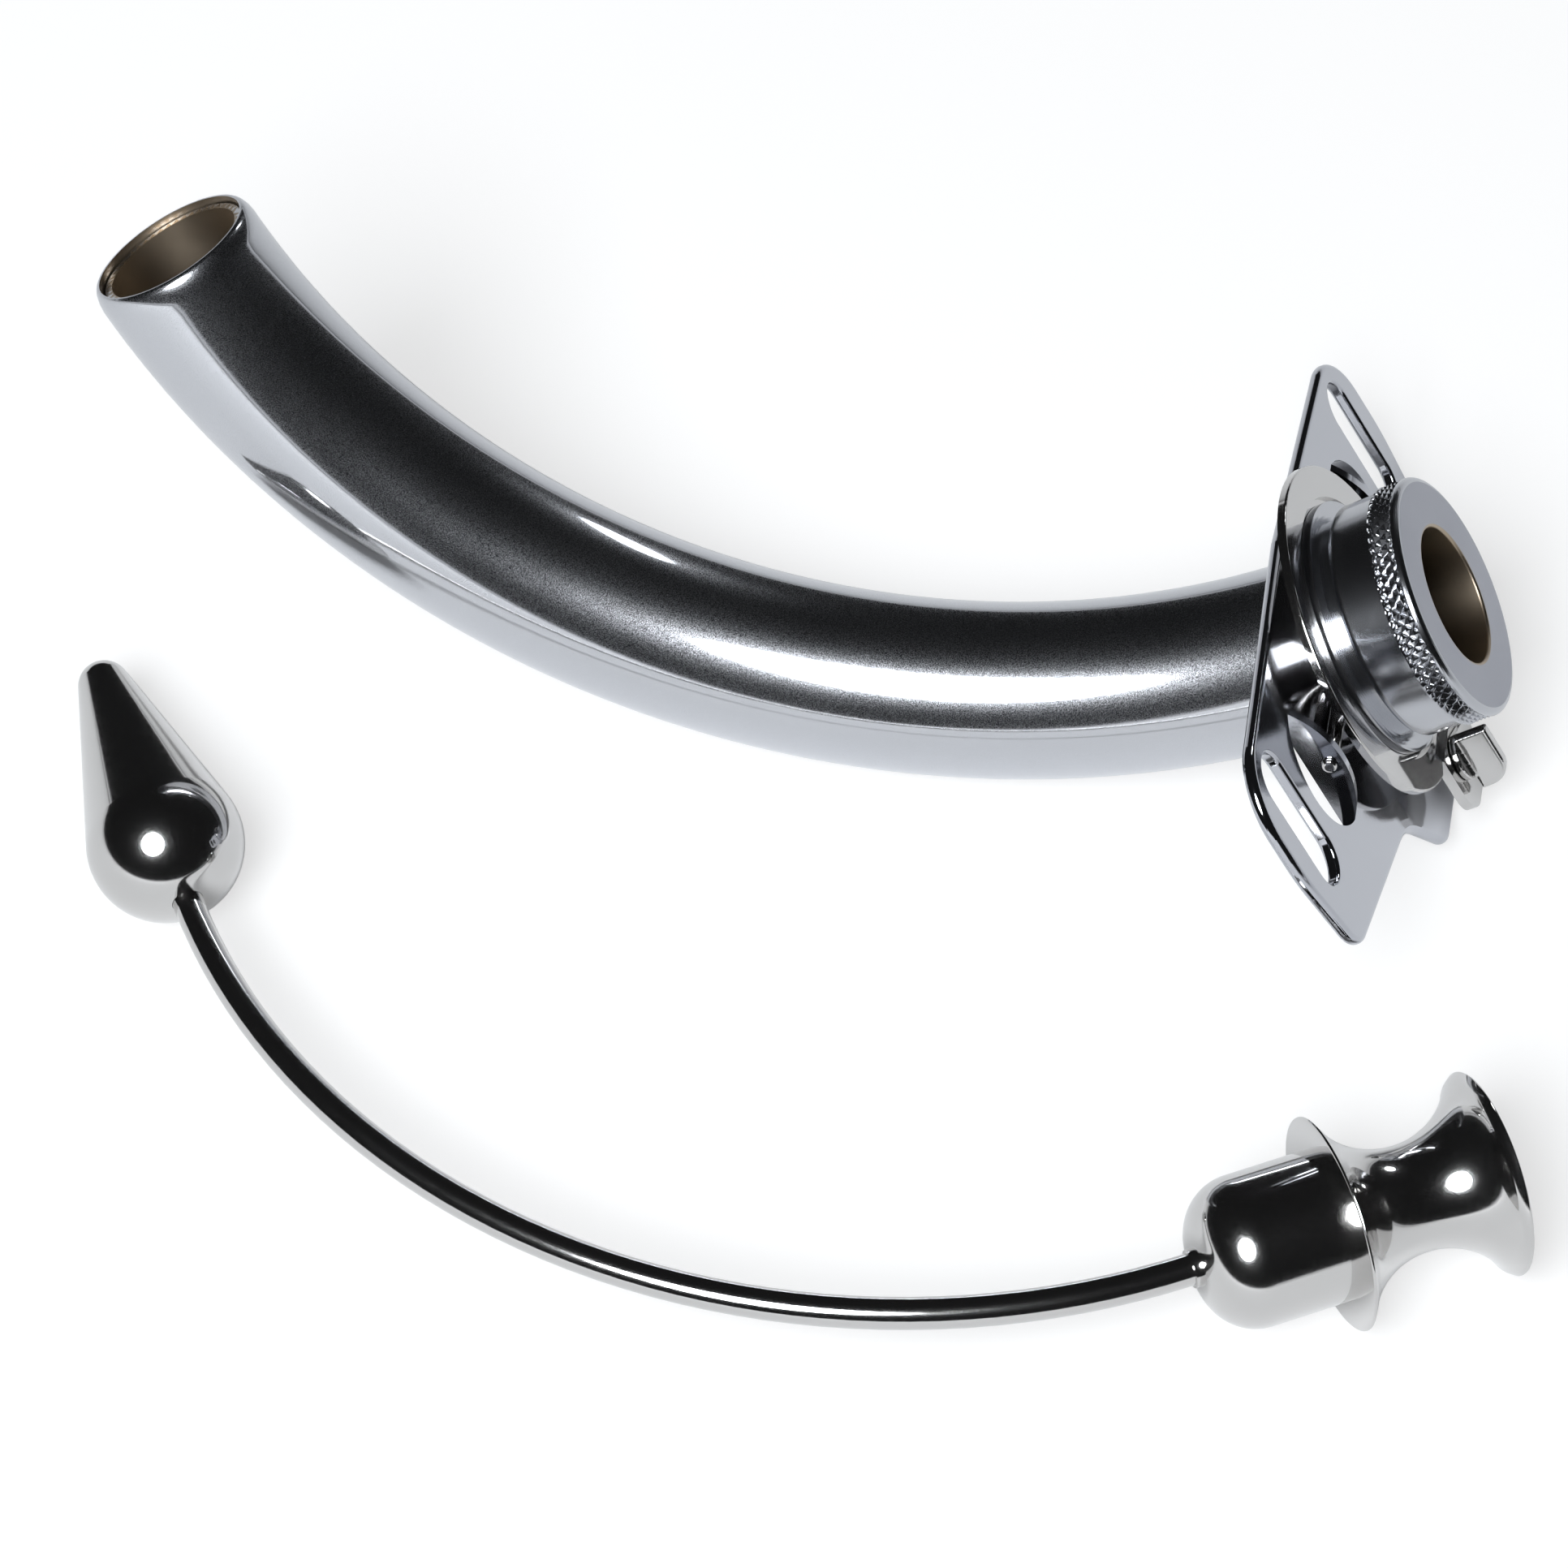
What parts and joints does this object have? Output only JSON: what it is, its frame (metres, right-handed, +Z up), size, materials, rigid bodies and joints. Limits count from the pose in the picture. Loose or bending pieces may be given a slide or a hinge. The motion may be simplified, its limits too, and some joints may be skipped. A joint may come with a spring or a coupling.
{
  "type": "tracheostomy tube",
  "caption": "Polished metal tracheostomy tube: bent outer and inner cannulas, swivelling winged neck plate with latch, and a separate obturator.",
  "frame": {"origin": "centre of the whole set's outline at floor level", "axes": "+Z up from the floor; +X along the set, from the tube's tip towards its head; +Y away from the obturator's handle"},
  "size_m": [0.0967, 0.075, 0.0359],
  "materials": {
    "polished_steel": "mirror polished stainless steel",
    "satin_steel": "polished stainless steel with a satin face"
  },
  "bodies": {
    "outer_cannula": {"outer_tube": "polished_steel", "collar": "polished_steel", "trunnion_pin_near": "polished_steel", "trunnion_pin_far": "polished_steel", "obturator_handle": "polished_steel", "obturator_rod": "polished_steel", "obturator_olive": "polished_steel"},
    "neck_plate_body": {"neck_plate": "polished_steel"},
    "latch_body": {"latch": "polished_steel"},
    "inner_cannula": {"inner_tube": "polished_steel", "inner_head": "satin_steel"}
  },
  "joints": [
    {"name": "neck_plate_swivel", "type": "hinge", "parent": "outer_cannula", "child": "neck_plate_body", "pos_m": [0.03746, 0.01022, 0.01421], "axis": [-0.1893, -0.9312, 0.3114], "range_deg": [-8, 6]},
    {"name": "latch_turn", "type": "hinge", "parent": "outer_cannula", "child": "latch_body", "pos_m": [0.04442, 0.00588, 0.00547], "axis": [0.8545, 0, 0.5195], "range_deg": [0, 90]},
    {"name": "inner_cannula_withdraw", "type": "hinge", "parent": "outer_cannula", "child": "inner_cannula", "pos_m": [0.0107, 0.03128, 0.06093], "axis": [-0.1893, -0.9312, 0.3114], "range_deg": [0, 90]}
  ]
}
